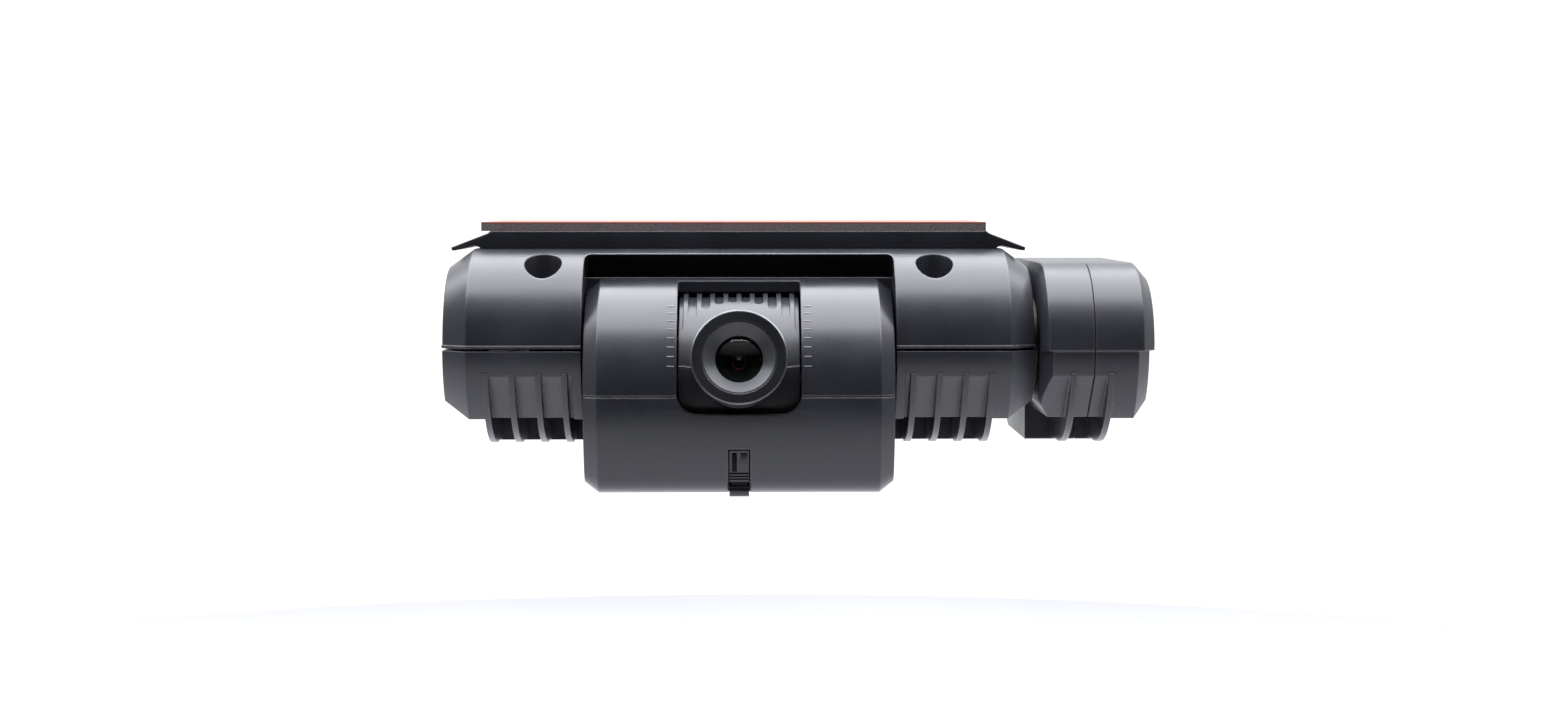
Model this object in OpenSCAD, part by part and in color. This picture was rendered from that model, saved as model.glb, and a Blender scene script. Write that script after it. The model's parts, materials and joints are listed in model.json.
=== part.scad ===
// Windscreen dash camera: wide finned housing under an adhesive bracket, a front pod with a
// tilting lens barrel, and a swivelling cabin camera head at one end.
// Frame: origin on the adhesive face, +Z out of it towards the glass, -Y towards the road.

/* [Bracket] */
// Width of the adhesive pad
pad_w = 114.4; // [112:0.2:114.4]
// How far the pad was stuck off the bracket's middle
pad_shift = -1.1; // [-1.1:0.1:0]
// Depth of the adhesive pad
pad_d = 45; // [40:0.5:45]
// Thickness of the foam adhesive with its liner
pad_t = 2; // [1.6:0.1:2]
// Thickness of the bracket plate
plate_t = 4; // [4:0.1:4.4]
// Half width of the bracket plate between its wings
plate_hw = 56.8; // [56:0.1:57]
// Reach of each sloping side wing beyond the plate
wing_reach = 8.3; // [7:0.1:8.3]

/* [Main housing] */
// Half width of the main housing
main_hw = 65.2; // [65.1:0.1:65.4]
// Radius of the rounded front of the upper shell
upper_r = 21.5; // [21:0.1:21.5]
// Radius of the rounded front of the lower shell
lower_r = 22; // [22:0.1:22.2]
// How far the rear face lies behind the adhesive centre
rear_y = 26; // [26:0.1:28]
// Thickness of the housing walls
wall = 2; // [1.8:0.1:2]
// Pitch of the cooling fins
fin_pitch = 5.75; // [5.5:0.05:5.75]
// Thickness of each cooling fin
fin_t = 1.3; // [1:0.1:1.6]
// Diameter of the two screw wells in the upper shell
well_d = 8.3; // [7:0.1:8.4]

/* [Front pod] */
// Half width of the pod
pod_hw = 33.9; // [33:0.05:34]
// Radius of the pod about the tilt axis
pod_r = 25; // [24.8:0.1:25.2]
// Half width of the lens window
window_hw = 13.55; // [13.55:0.05:13.6]

/* [Lens barrel] */
// Radius of the tilting lens barrel
barrel_r = 22.2; // [22:0.1:22.2]
// Half width of the lens barrel
barrel_hw = 13.2; // [12.8:0.1:13.2]
// Angle of the lens above the horizontal when it is tilted fully down
lens_pitch = 17; // [15:1:18]
// Radius of the lens ring
ring_r = 10.4; // [9.8:0.1:10.4]
// Distance of the lens ring's front from the tilt axis
ring_front = 31.2; // [30:0.1:31.4]
// Degrees between the marks of the tilt scale
mark_step = 5; // [5:1:5]

/* [Cabin head] */
// Inner end of the head along X
head_x0 = 66.5; // [66.2:0.1:66.6]
// Outer end of the head along X
head_x1 = 91.5; // [91:0.1:91.8]
// Radius of the rounded front of the head
head_r = 18.4; // [18:0.1:18.6]

/* [Hidden] */

// Colours
shell_grey = [0.17, 0.18, 0.20];
pod_grey = [0.19, 0.20, 0.23];
trim_black = [0.05, 0.05, 0.06];
foam_brown = [0.20, 0.17, 0.17];
liner_red = [0.72, 0.26, 0.12];
board_green = [0.06, 0.22, 0.14];
metal_grey = [0.62, 0.63, 0.65];
mark_grey = [0.72, 0.73, 0.76];

eps = 0.1;
far = 200;
round_fn = 96;
liner_t = 0.3;

// Main housing levels
main_y = -22;
plate_z = -pad_t - plate_t;
main_z = plate_z - upper_r;
split_z = main_z;
split_gap = 0.5;
top_z = plate_z;
front_floor_z = main_z - 15.9;
rear_floor_z = main_z - 23;
rear_wall_y = -12;
rear_corner = 7;
end_run = 5.5;
end_drop = 4;
cavity_hw = main_hw - 4.1;
pocket_top_z = main_z - 5.6;
pocket_run = 10.4;
fin_r = lower_r + 0.4;
fin_first_x = 38.2;
fin_count = 4;
fin_last_x = fin_first_x + (fin_count - 1) * fin_pitch;
rear_box_hw = fin_last_x + fin_t / 2;

// Notch for the pod
notch_hw = 34.5;
notch_y = -28.4;
notch_top_z = top_z - 1.2;
notch_corner = 1.3;
notch_floor_z = top_z - 6.3;
notch_rear_y = -22;
duct_hw = 19.8;
duct_top_z = -14.9;
duct_rear_y = -20.2;

// Screws
well_x = 43.5;
well_y = -33;
well_floor_z = -20;
screw_r = 1.4;
screw_hole_r = 1.45;
rear_screws = [[-41.8, 18.5], [22, 18.5]];
rear_screw_seat_z = -45;
bracket_screw_x = 46;
bracket_screw_y = 14;

// Pod and barrel
tilt_y = -26;
tilt_z = -37.5;
pod_split_z = -37.4;
pod_wall = 2;
pod_back_y = notch_y - 0.2;
pod_floor_z = -59.3;
pod_rear_y = rear_wall_y - 0.3;
pod_lower_top_z = front_floor_z - 0.2;
pod_front_r = 40;
pod_corner_r = 7;
pod_run = 3.1;
pod_drop = 2.4;
window_top_y = -31;
window_floor_z = -41.2;
window_corner = 4.5;
barrel_rear = 5;
barrel_under = 15.6;
barrel_wall = 1.7;
axle_r = 2.5;
axle_bore_r = 2.56;
block_x0 = 14.3;
block_x1 = 19.3;
pod_screw_x = 26;
pod_screw_zs = [-20, -39.2];
mark_count = 8;
mark_half = 0.25;

// Grille on the barrel
slot_pitch = 2.94;
slot_w = 1.9;
slot_depth = 0.9;
slot_reach = 49.6;
slot_spread = 14.5;
slot_top_angle = 100;

// Lens ring and optics, as distances from the tilt axis along the lens
neck_r = 9;
ring_back = 27.4;
hood_r = 8;
glass_r = 5.1;
glass_at = 29.1;
optic_r = 6.6;
sensor_at = 7.6;

// Lock slider
slider_hw = 2.15;
slider_top_z = -49.2;
slider_back_y = -46.4;
slider_step_z = -54.2;
thumb_y = -44;
thumb_r = 1.5;
thumb_z = pod_floor_z + 0.95;

// Rear controls
control_z = -38;
call_x = -29;
record_x = -12;
mute_x = 3;
button_r = 4;
call_r = 5;
button_proud = 0.6;
button_travel = 0.8;
indicator_z = -18;
indicator_xs = [-6, 0, 6];
mic_xs = [-20, 20];
speaker_x = 37;
speaker_z = -35.8;
speaker_r = 7.6;
speaker_slot_pitch = 2;
inlet_x = -52;
inlet_z = -37.2;

// Card door
door_y0 = 2.3;
pin_y = 19.6;
pin_x = -main_hw + 1.35;
door_z0 = -37.5;
door_z1 = -29.1;
door_out = -main_hw + 0.1;
door_in = -main_hw + 1.7;
knuckle_r = 1.25;
pin_r = 0.7;

// Head
head_y = -26;
head_seam_x = 78;
head_top_z = main_z + head_r;
head_low_x1 = head_x1 - 0.9;
head_fin_xs = [73.5, 81.8];
shaft_r = 6;
shaft_bore_r = 6.08;
head_screw_spots = [[-34.3, -18.7], [8, -15.5], [5, -38]];

// ---- Helpers ----

// Points of an arc about [y, z], from angle a0 to a1
function arc(y, z, r, a0, a1, n = 24) =
    [for (i = [0:n]) let (a = a0 + (a1 - a0) * i / n) [y + r * cos(a), z + r * sin(a)]];

// Extrudes a [Y, Z] outline along X
module along_x(x0, x1) {
    translate([x0, 0, 0]) rotate([90, 0, 90]) linear_extrude(x1 - x0) children();
}

// Extrudes an [X, Z] outline along Y
module along_y(y0, y1) {
    translate([0, y1, 0]) rotate([90, 0, 0]) linear_extrude(y1 - y0) children();
}

// A block between two corners
module block(a, b) {
    translate(a) cube(b - a);
}

// A cylinder along X
module rod_x(y, z, r, x0, x1) {
    translate([x0, y, z]) rotate([0, 90, 0]) cylinder(r = r, h = x1 - x0, $fn = round_fn);
}

// A cylinder along Y
module rod_y(x, z, r, y0, y1) {
    translate([x, y1, z]) rotate([90, 0, 0]) cylinder(r = r, h = y1 - y0, $fn = round_fn);
}

// A cylinder along Z
module rod_z(x, y, r, z0, z1) {
    translate([x, y, z0]) cylinder(r = r, h = z1 - z0, $fn = round_fn);
}

// A long body along X with chamfered ends; the children's outline shrinks by $inset
module chamfered(x0, x1, run0, run1, drop) {
    hull() {
        along_x(x0 + run0, x1 - run1) let ($inset = 0) children();
        along_x(x0, x1) let ($inset = drop) children();
    }
}

// A ring sector about the tilt axis, with angles measured up from the road side
module tilt_sector(x0, x1, r0, r1, a0, a1) {
    translate([0, tilt_y, tilt_z]) rotate([90, 0, 90])
        rotate_extrude(angle = a1 - a0, start = 180 - a1, $fn = 180)
            translate([r0, x0]) square([r1 - r0, x1 - x0]);
}

// Turns a shape whose axis is +Z from the tilt axis into the lens direction
module on_lens_axis() {
    translate([0, tilt_y, tilt_z]) rotate([90 - lens_pitch, 0, 0]) children();
}

// Mirrors the children to both sides of the camera
module both_sides() {
    children();
    mirror([1, 0, 0]) children();
}

// A pan head screw with its head at the origin and its shank along +Z
module screw(head_r, head_h, r, h) {
    difference() {
        union() {
            cylinder(r = head_r, h = head_h, $fn = round_fn);
            cylinder(r = r, h = h, $fn = round_fn);
        }
        for (turn = [0, 90]) rotate([0, 0, turn])
            translate([-head_r * 0.6, -0.25, -eps]) cube([head_r * 1.2, 0.5, 0.8 + eps]);
    }
}

// ---- Outlines ----

// Upper shell outline, closed well below the split
module upper_outline() {
    hull() {
        translate([main_y, main_z]) circle(r = upper_r - $inset, $fn = round_fn);
        translate([rear_y - rear_corner, top_z - rear_corner])
            circle(r = rear_corner - $inset, $fn = round_fn);
        translate([rear_y - rear_corner, main_z - 6])
            square([rear_corner - $inset, 6]);
    }
}

// Lower shell outline above its flat front floor, closed above the split
module lower_outline() {
    floor_z = front_floor_z + $inset;
    r = lower_r - $inset;
    low = 180 + asin((main_z - floor_z) / r);
    polygon(concat(
        [[rear_y - $inset, main_z + 6], [main_y - r, main_z + 6]],
        arc(main_y, main_z, r, 180, low, 16),
        [[rear_y - $inset, floor_z]]
    ));
}

// Deep rear of the lower shell, with a rounded rear edge
module rear_outline(inset) {
    c = 5;
    y = rear_y - inset;
    z = rear_floor_z + inset;
    polygon(concat(
        [[rear_wall_y + inset, front_floor_z + wall], [rear_wall_y + inset, z]],
        arc(y - c, z + c, c, 270, 360, 12),
        [[y, front_floor_z + wall]]
    ));
}

// One cooling fin, from the foot of the smooth front band to the deep rear
module fin_outline() {
    start = 180 + asin((main_z - pocket_top_z) / fin_r);
    polygon(concat(
        arc(main_y, main_z, fin_r, start, 270, 24),
        [
            [rear_wall_y + 0.5, main_z - fin_r],
            [rear_wall_y + 0.5, front_floor_z + 1],
            [main_y - lower_r + pocket_run + 2, front_floor_z + 1],
            [main_y - lower_r + 2, pocket_top_z + 1]
        ]
    ));
}

// The space between the fins, in front of the sloping pocket floor
module pocket_outline() {
    front = main_y - lower_r;
    polygon([
        [front - 5, pocket_top_z], [front + 0.4, pocket_top_z],
        [front + 0.4 + pocket_run, front_floor_z - eps],
        [front + 0.4 + pocket_run, front_floor_z - 5], [front - 5, front_floor_z - 5]
    ]);
}

// Hollow of the lower shell's front, behind the pocket floor
module lower_hollow_outline() {
    front = main_y - lower_r + 2.6;
    polygon([
        [front, split_z + 5], [front, pocket_top_z + 0.8],
        [front + pocket_run - 1.6, front_floor_z + wall], [rear_y - wall, front_floor_z + wall],
        [rear_y - wall, split_z + 5]
    ]);
}

// Pod outline: round above, gently curved below with a tighter corner at the bottom
module pod_outline() {
    r = pod_r - $inset;
    gentle_y = tilt_y - pod_r + pod_front_r;
    gentle_r = pod_front_r - $inset;
    corner_r = pod_corner_r - $inset;
    corner_z = pod_floor_z + pod_corner_r;
    corner_y = gentle_y - sqrt(pow(pod_front_r - pod_corner_r, 2) - pow(corner_z - tilt_z, 2));
    meet = 180 + atan2(tilt_z - corner_z, gentle_y - corner_y);
    polygon(concat(
        arc(tilt_y, tilt_z, r, 90, 180, 30),
        arc(gentle_y, tilt_z, gentle_r, 180.5, meet, 8),
        arc(corner_y, corner_z, corner_r, meet + 5, 270, 12),
        arc(pod_rear_y - 5, pod_floor_z + 5, 5 - $inset, 270, 360, 8),
        [[pod_rear_y - $inset, tilt_z + r]]
    ));
}

// Head outline above the split
module head_outline() {
    c = 6;
    hull() {
        translate([head_y, main_z]) circle(r = head_r - $inset, $fn = round_fn);
        translate([rear_y - c, head_top_z - c]) circle(r = c - $inset, $fn = round_fn);
        translate([rear_y - c, main_z - 6]) square([c - $inset, 6]);
    }
}

// ---- Shared solids ----

// The notch's outline in [X, Z] down to the given level, with rounded upper corners
module notch_outline(low) {
    x = notch_hw - notch_corner;
    z = notch_top_z - notch_corner;
    polygon(concat(
        [[-notch_hw, low], [notch_hw, low]],
        arc(x, z, notch_corner, 0, 90, 8),
        arc(-x, z, notch_corner, 90, 180, 8)
    ));
}

module upper_form() {
    chamfered(-main_hw, main_hw, end_run, end_run, end_drop) upper_outline();
}

module upper_hollow() {
    along_x(-cavity_hw, cavity_hw) let ($inset = wall) upper_outline();
}

module lower_form(x0, x1, run0, run1, box_x0, box_x1) {
    intersection() {
        union() {
            chamfered(x0, x1, run0, run1, end_drop) lower_outline();
            along_x(box_x0, box_x1) rear_outline(0);
        }
        block([x0, -far, -far], [x1, far, split_z - split_gap]);
    }
}

// Cooling fins at the given places
module fins(xs) {
    for (x = xs) along_x(x - fin_t / 2, x + fin_t / 2) fin_outline();
}

module pod_form(inset = 0) {
    chamfered(-pod_hw + inset, pod_hw - inset, pod_run, pod_run, pod_drop)
        let ($inset = $inset + inset) pod_outline();
}

// The half bores for the head's shaft, through the end of the main housing
module shaft_bore() {
    rod_x(head_y, main_z, shaft_bore_r, cavity_hw - eps, main_hw + eps);
}

// Everything of the pod that stands in front of and under the main housing
module pod_zone() {
    block([-pod_hw, -far, -far], [pod_hw, pod_back_y, far]);
    block([-pod_hw, pod_back_y - eps, -far], [pod_hw, pod_rear_y, pod_lower_top_z]);
}

// The opening that the lens looks through
module window_cut() {
    along_y(-far, window_top_y) hull() {
        translate([-window_hw, tilt_z]) square([2 * window_hw, pod_r + 5]);
        for (side = [-1, 1])
            translate([side * (window_hw - window_corner), window_floor_z + window_corner])
                circle(r = window_corner, $fn = 32);
    }
}

module barrel_form(inset) {
    r = barrel_r - inset;
    hw = barrel_hw - inset;
    intersection() {
        rod_x(tilt_y, tilt_z, r, -hw, hw);
        block(
            [-far, -far, tilt_z - barrel_under + inset],
            [far, tilt_y + barrel_rear - inset, far]
        );
    }
}

// Everything above the barrel's parting plane, which holds the tilt axis and the lens axis
module above_parting(gap) {
    translate([0, tilt_y, tilt_z]) rotate([-lens_pitch, 0, 0])
        translate([-far / 2, -far / 2, gap / 2]) cube([far, far, far]);
}

module below_parting(gap) {
    translate([0, tilt_y, tilt_z]) rotate([-lens_pitch, 0, 0])
        translate([-far / 2, -far / 2, -gap / 2 - far]) cube([far, far, far]);
}

// The hollow barrel with its lens hole, axle holes and grille
module barrel_shell() {
    difference() {
        barrel_form(0);
        barrel_form(barrel_wall);
        on_lens_axis() cylinder(r = neck_r + 0.1, h = far / 2, $fn = round_fn);
        rod_x(tilt_y, tilt_z, axle_r + 0.02, -far / 2, far / 2);
        for (i = [-5:4]) grille_slot((i + 0.5) * slot_pitch);
    }
}

// One grille slot, ending on an oval about the lens with a rounded foot
module grille_slot(x) {
    foot = lens_pitch + slot_reach * sqrt(1 - pow(min(abs(x), 12.6) / slot_spread, 2));
    tilt_sector(
        x - slot_w / 2, x + slot_w / 2, barrel_r - slot_depth, barrel_r + 1, foot, slot_top_angle
    );
    translate([x, tilt_y, tilt_z]) rotate([90 - foot, 0, 0])
        translate([0, 0, barrel_r - slot_depth]) cylinder(r = slot_w / 2, h = 3, $fn = 48);
}

// ---- Bracket ----

// One layer of the adhesive pad
module pad_block(z0, z1) {
    block([pad_shift - pad_w / 2, -pad_d / 2, z0], [pad_shift + pad_w / 2, pad_d / 2, z1]);
}

module release_liner() {
    color(liner_red) pad_block(-liner_t, 0);
}

module adhesive_pad() {
    color(foam_brown) pad_block(-pad_t, -liner_t);
}

module bracket_plate() {
    tip = plate_hw + wing_reach;
    wing = [
        [plate_hw - 0.6, -pad_t], [plate_hw, -pad_t - 0.5], [tip, plate_z + 0.3],
        [tip - 0.2, plate_z - 0.4], [tip - 0.9, plate_z - 0.4],
        [plate_hw + wing_reach * 0.36, plate_z + 0.8], [plate_hw + 1.2, plate_z]
    ];
    color(shell_grey) difference() {
        along_y(-pad_d / 2 - 0.3, pad_d / 2 + 0.3)
            polygon(concat(wing, [for (i = [6:-1:0]) [-wing[i].x, wing[i].y]]));
        for (x = [-1, 1] * bracket_screw_x, y = [-1, 1] * bracket_screw_y) {
            rod_z(x, y, screw_hole_r + 0.1, plate_z - eps, 0);
            rod_z(x, y, 3, -pad_t - 1.8, 0);
        }
    }
}

module bracket_screws() {
    color(metal_grey)
        for (x = [-1, 1] * bracket_screw_x, y = [-1, 1] * bracket_screw_y)
            translate([x, y, -pad_t - 0.1]) rotate([180, 0, 0]) screw(2.8, 1.6, screw_r, 9);
}

// ---- Main housing ----

module upper_shell() {
    color(shell_grey) difference() {
        union() {
            difference() {
                upper_form();
                upper_hollow();
            }
            intersection() {
                upper_form();
                union() {
                    block([-notch_hw - wall, -far, -far], [notch_hw + wall, notch_y + wall, far]);
                    block(
                        [-notch_hw - wall, notch_y, notch_floor_z - wall],
                        [notch_hw + wall, notch_rear_y + wall, far]
                    );
                    both_sides() rod_z(well_x, well_y, well_d / 2 + 1.5, split_z, 0);
                    for (x = [-1, 1] * bracket_screw_x, y = [-1, 1] * bracket_screw_y)
                        rod_z(x, y, 3.4, top_z - 8, top_z);
                    for (spot = rear_screws) rod_z(spot.x, spot.y, 3, split_z, top_z - 1);
                }
            }
        }
        block([-far, -far, -far], [far, far, split_z]);
        along_y(-far, notch_y) notch_outline(-far);
        along_y(-far, notch_rear_y) notch_outline(notch_floor_z);
        block([-duct_hw, notch_y - eps, -far], [duct_hw, notch_y + wall + eps, duct_top_z]);
        both_sides() {
            rod_z(well_x, well_y, well_d / 2, well_floor_z, 0);
            rod_z(well_x, well_y, screw_hole_r + 0.1, split_z - eps, 0);
            rod_y(pod_screw_x, pod_screw_zs[0], screw_hole_r, notch_y - eps, notch_y + wall + eps);
        }
        for (x = [-1, 1] * bracket_screw_x, y = [-1, 1] * bracket_screw_y)
            rod_z(x, y, screw_hole_r, top_z - 6, top_z + eps);
        for (spot = rear_screws) rod_z(spot.x, spot.y, screw_hole_r, split_z - eps, top_z - 6);
        for (x = indicator_xs) rod_y(x, indicator_z, 1.15, rear_y - wall - eps, rear_y + eps);
        for (x = mic_xs) rod_y(x, indicator_z, 0.8, rear_y - wall - eps, rear_y + eps);
        shaft_bore();
    }
}

module main_lower_form() {
    lower_form(-main_hw, main_hw, end_run, end_run, -rear_box_hw, rear_box_hw);
}

module lower_shell() {
    fin_xs = [for (i = [0:fin_count - 1]) fin_first_x + i * fin_pitch];
    color(shell_grey) difference() {
        union() {
            difference() {
                main_lower_form();
                along_x(-cavity_hw, cavity_hw) lower_hollow_outline();
                along_x(-rear_box_hw + wall, rear_box_hw - wall) rear_outline(wall);
                along_x(-rear_box_hw + wall, rear_box_hw - wall)
                    translate([rear_wall_y + wall, front_floor_z - 1])
                        square([rear_y - rear_wall_y - 2 * wall, 5]);
                both_sides() along_x(notch_hw - 1, rear_box_hw) pocket_outline();
            }
            intersection() {
                main_lower_form();
                union() {
                    block(
                        [-notch_hw - wall, -far, front_floor_z],
                        [notch_hw + wall, notch_y + wall, far]
                    );
                    both_sides() difference() {
                        rod_z(well_x, well_y, 3.2, -far, split_z);
                        along_x(0, far) pocket_outline();
                    }
                    for (spot = rear_screws)
                        rod_z(spot.x, spot.y, 4.4, rear_floor_z, rear_screw_seat_z + 2);
                    for (spot = rear_screws) rod_z(spot.x, spot.y, 2.6, rear_floor_z, split_z);
                }
            }
            both_sides() fins(fin_xs);
        }
        block([-notch_hw, -far, -far], [notch_hw, notch_y, far]);
        block([-duct_hw, notch_y - eps, -far], [duct_hw, duct_rear_y, far]);
        both_sides() {
            rod_z(well_x, well_y, screw_hole_r, split_z - 10, split_z);
            rod_y(pod_screw_x, pod_screw_zs[1], screw_hole_r, notch_y - eps, notch_y + wall + eps);
        }
        for (spot = rear_screws) {
            rod_z(spot.x, spot.y, screw_hole_r + 0.1, -far, split_z + eps);
            rod_z(spot.x, spot.y, 3.2, rear_floor_z - eps, rear_screw_seat_z);
        }
        shaft_bore();
        rear_holes();
        door_recess();
    }
}

// Holes in the rear wall for the buttons, the inlet and the speaker
module rear_holes() {
    y0 = rear_y - wall - eps;
    y1 = rear_y + eps;
    rod_y(call_x, control_z, call_r + 0.2, y0, y1);
    for (x = [record_x, mute_x]) rod_y(x, control_z, button_r + 0.2, y0, y1);
    block([inlet_x - 6.1, y0, inlet_z - 4.1], [inlet_x + 6.1, y1, inlet_z + 4.1]);
    for (i = [-3:3]) {
        half = sqrt(pow(speaker_r - 1, 2) - pow(i * speaker_slot_pitch, 2));
        z = speaker_z + i * speaker_slot_pitch;
        block([speaker_x - half, y0, z - 0.5], [speaker_x + half, y1, z + 0.5]);
    }
}

// Recess for the card door, its knuckle and the way to the sockets
module door_recess() {
    play = 0.2;
    block(
        [-far, door_y0 - play, door_z0 - play],
        [door_in + play, pin_y + knuckle_r + play, door_z1 + play]
    );
    rod_z(pin_x, pin_y, knuckle_r + play, door_z0 - play, door_z1 + play);
    rod_z(pin_x, pin_y, pin_r + 0.02, door_z0 - 0.8, split_z + eps);
    block([-main_hw, 3.5, -36.9], [-cavity_hw + eps, 16.5, -29.7]);
}

module shell_screws() {
    color(metal_grey) {
        both_sides() translate([well_x, well_y, well_floor_z + 2.2])
            rotate([180, 0, 0]) screw(3, 2.2, screw_r, 16);
        for (spot = rear_screws) translate([spot.x, spot.y, rear_screw_seat_z - 2])
            screw(2.8, 2, screw_r, 28);
    }
}

// ---- Electronics of the main housing ----

module main_board() {
    color(board_green) difference() {
        block([-44, -8, split_z - 2.2], [58, 14, split_z - 0.6]);
        for (x = [-40, 54]) rod_z(x, 11, 1.6, -far, 0);
        for (x = [-40, 54]) rod_z(x, -5, 1.6, -far, 0);
    }
}

module processor() {
    color(trim_black) block([-8, -5, split_z - 3.7], [8, 11, split_z - 2.2]);
}

module thermal_pad() {
    color([0.45, 0.55, 0.65]) block([-8, -5, split_z - 4.7], [8, 11, split_z - 3.7]);
}

module heat_spreader() {
    color(metal_grey) {
        difference() {
            block([-30, -7, split_z - 6.7], [30, 12, split_z - 4.7]);
            for (spot = [[22, 18.5]]) rod_z(spot.x, spot.y, 3, -far, 0);
        }
    }
}

module modem_module() {
    color(metal_grey) block([14, -6, split_z - 0.6], [42, 12, split_z + 2.6]);
}

module satellite_antenna() {
    color([0.75, 0.68, 0.52]) {
        block([-14, -6, top_z - wall - 4.4], [14, 18.5, top_z - wall - 0.3]);
    }
}

module supercapacitors() {
    color([0.12, 0.14, 0.30])
        for (y = [-2, 9]) rod_x(y, split_z + 5.2, 5, -36, -13.6);
}

module board_screws() {
    color(metal_grey)
        for (x = [-40, 54], y = [-5, 11]) if (x > 0 || y < 0)
            translate([x, y, split_z + 0.9]) rotate([180, 0, 0]) screw(2.4, 1.5, 1.3, 6);
}

module speaker() {
    color(trim_black) {
        difference() {
            rod_y(speaker_x, speaker_z, speaker_r, rear_y - wall - 6, rear_y - wall);
            rod_y(speaker_x, speaker_z, speaker_r - 1.2, rear_y - wall - 1, rear_y);
        }
    }
}

module microphones() {
    color(metal_grey)
        for (x = mic_xs) rod_y(x, indicator_z, 2.5, rear_y - wall - 2, rear_y - wall);
}

module card_socket() {
    color(metal_grey) difference() {
        block([-60.2, 4, -33.1], [-46, 16, -31.1]);
        block([-61, 4.5, -32.6], [-47, 15.5, -31.6]);
    }
}

module sim_socket() {
    color(metal_grey) difference() {
        block([-60.2, 5, -36.4], [-49, 15, -34.6]);
        block([-61, 5.5, -36], [-50, 14.5, -35]);
    }
}

module power_inlet() {
    z0 = inlet_z - 4;
    z1 = inlet_z + 4;
    color(trim_black) {
        difference() {
            block([inlet_x - 6, 17, z0], [inlet_x + 6, rear_y, z1]);
            block([inlet_x - 5, 18.2, z0 + 1], [inlet_x + 5, rear_y + eps, z1 - 1]);
        }
        for (i = [-1.5:1.5]) rod_y(inlet_x + i * 2.4, inlet_z, 0.5, 18, 20.5);
    }
}

module card_door() {
    color(shell_grey) difference() {
        union() {
            block([door_out, door_y0, door_z0], [door_in, pin_y, door_z1]);
            rod_z(pin_x, pin_y, knuckle_r, door_z0, door_z1);
            block([door_out - 0.35, door_y0 + 0.6, -34.8], [door_out + 0.1, door_y0 + 1.8, -31.8]);
        }
        rod_z(pin_x, pin_y, pin_r + 0.06, -far, 0);
    }
}

module door_pin() {
    color(metal_grey) rod_z(pin_x, pin_y, pin_r, door_z0 - 0.7, split_z - split_gap);
}

// ---- Rear buttons ----

module button(x, r) {
    rod_y(x, control_z, r, rear_y - wall - 1, rear_y + button_proud);
    rod_y(x, control_z, r + 0.8, rear_y - wall - 1, rear_y - wall - 0.1);
}

module call_button() {
    color([0.62, 0.08, 0.07]) button(call_x, call_r);
}

module record_button() {
    color(trim_black) button(record_x, button_r);
}

module mute_button() {
    color(trim_black) button(mute_x, button_r);
}

module button_board() {
    color(board_green) block([-36.5, 16.4, -44], [11, 18, -32]);
}

module button_switches() {
    color(metal_grey) for (x = [call_x, record_x, mute_x]) {
        block([x - 2.3, 18, control_z - 2.3], [x + 2.3, 20.6, control_z + 2.3]);
        rod_y(x, control_z, 1.2, 20.5, rear_y - wall - 1 - button_travel - 0.3);
    }
}

module light_pipes() {
    color([0.85, 0.9, 0.9])
        for (x = indicator_xs) rod_y(x, indicator_z, 1.1, rear_y - wall - 3, rear_y);
}

// ---- Front pod ----

// Bosses for the screws that hold the pod to the main housing
module pod_bosses(z, y0) {
    both_sides() rod_y(pod_screw_x, z, 2.8, y0, pod_back_y);
}

module pod_screw_holes(z) {
    both_sides() rod_y(pod_screw_x, z, screw_hole_r, -37, pod_back_y + eps);
}

module pod_upper() {
    z = pod_screw_zs[0];
    color(pod_grey) difference() {
        intersection() {
            union() {
                difference() {
                    let ($inset = 0) pod_form();
                    let ($inset = 0) pod_form(pod_wall);
                }
                intersection() {
                    let ($inset = 0) pod_form();
                    union() {
                        pod_bosses(z, -42);
                        pod_header();
                    }
                }
            }
            block([-pod_hw, -far, pod_split_z + 0.12], [pod_hw, pod_back_y, 0]);
        }
        window_cut();
        pod_screw_holes(z);
    }
}

// Thicker top strip above the barrel, hollowed to clear it
module pod_header() {
    difference() {
        block(
            [-window_hw - 1, window_top_y, tilt_z + barrel_r - 1.5],
            [window_hw + 1, pod_back_y, 0]
        );
        rod_x(tilt_y, tilt_z, barrel_r + 0.3, -far, far);
    }
}

module pod_lower() {
    z = pod_screw_zs[1];
    color(pod_grey) difference() {
        intersection() {
            union() {
                difference() {
                    let ($inset = 0) pod_form();
                    let ($inset = 0) pod_form(pod_wall);
                }
                intersection() {
                    let ($inset = 0) pod_form();
                    union() {
                        pod_bosses(z, -49);
                        slider_surround();
                    }
                }
            }
            pod_zone();
            block([-pod_hw, -far, -far], [pod_hw, far, pod_split_z - 0.12]);
        }
        window_cut();
        pod_screw_holes(z);
        slider_slot();
    }
}

module slider_surround() {
    side = slider_hw + 1.6;
    difference() {
        block([-side, -60, pod_floor_z], [side, slider_back_y + 1.4, slider_top_z + 0.9]);
        rod_x(tilt_y, tilt_z, barrel_r + 0.3, -far, far);
    }
    block([-side, -60, pod_floor_z], [side, -38, slider_step_z + 0.7]);
}

module slider_slot() {
    play = 0.25;
    side = slider_hw + play;
    block([-side, -60, pod_floor_z - 5], [side, slider_back_y + play, slider_top_z + play]);
    block([-side, -60, pod_floor_z - 5], [side, -39.5, slider_step_z]);
}

module pod_screws() {
    color(metal_grey) both_sides() for (z = pod_screw_zs)
        translate([pod_screw_x, notch_y + wall + 1.8, z]) rotate([90, 0, 0])
            screw(2.1, 1.8, screw_r, 12);
}

module bearing_blocks() {
    color(trim_black) both_sides() difference() {
        block([block_x0, -31, pod_floor_z + pod_wall], [block_x1, duct_rear_y - 0.8, tilt_z + 5.5]);
        rod_x(tilt_y, tilt_z, axle_bore_r, block_x0 - eps, block_x1 + eps);
    }
}

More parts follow.
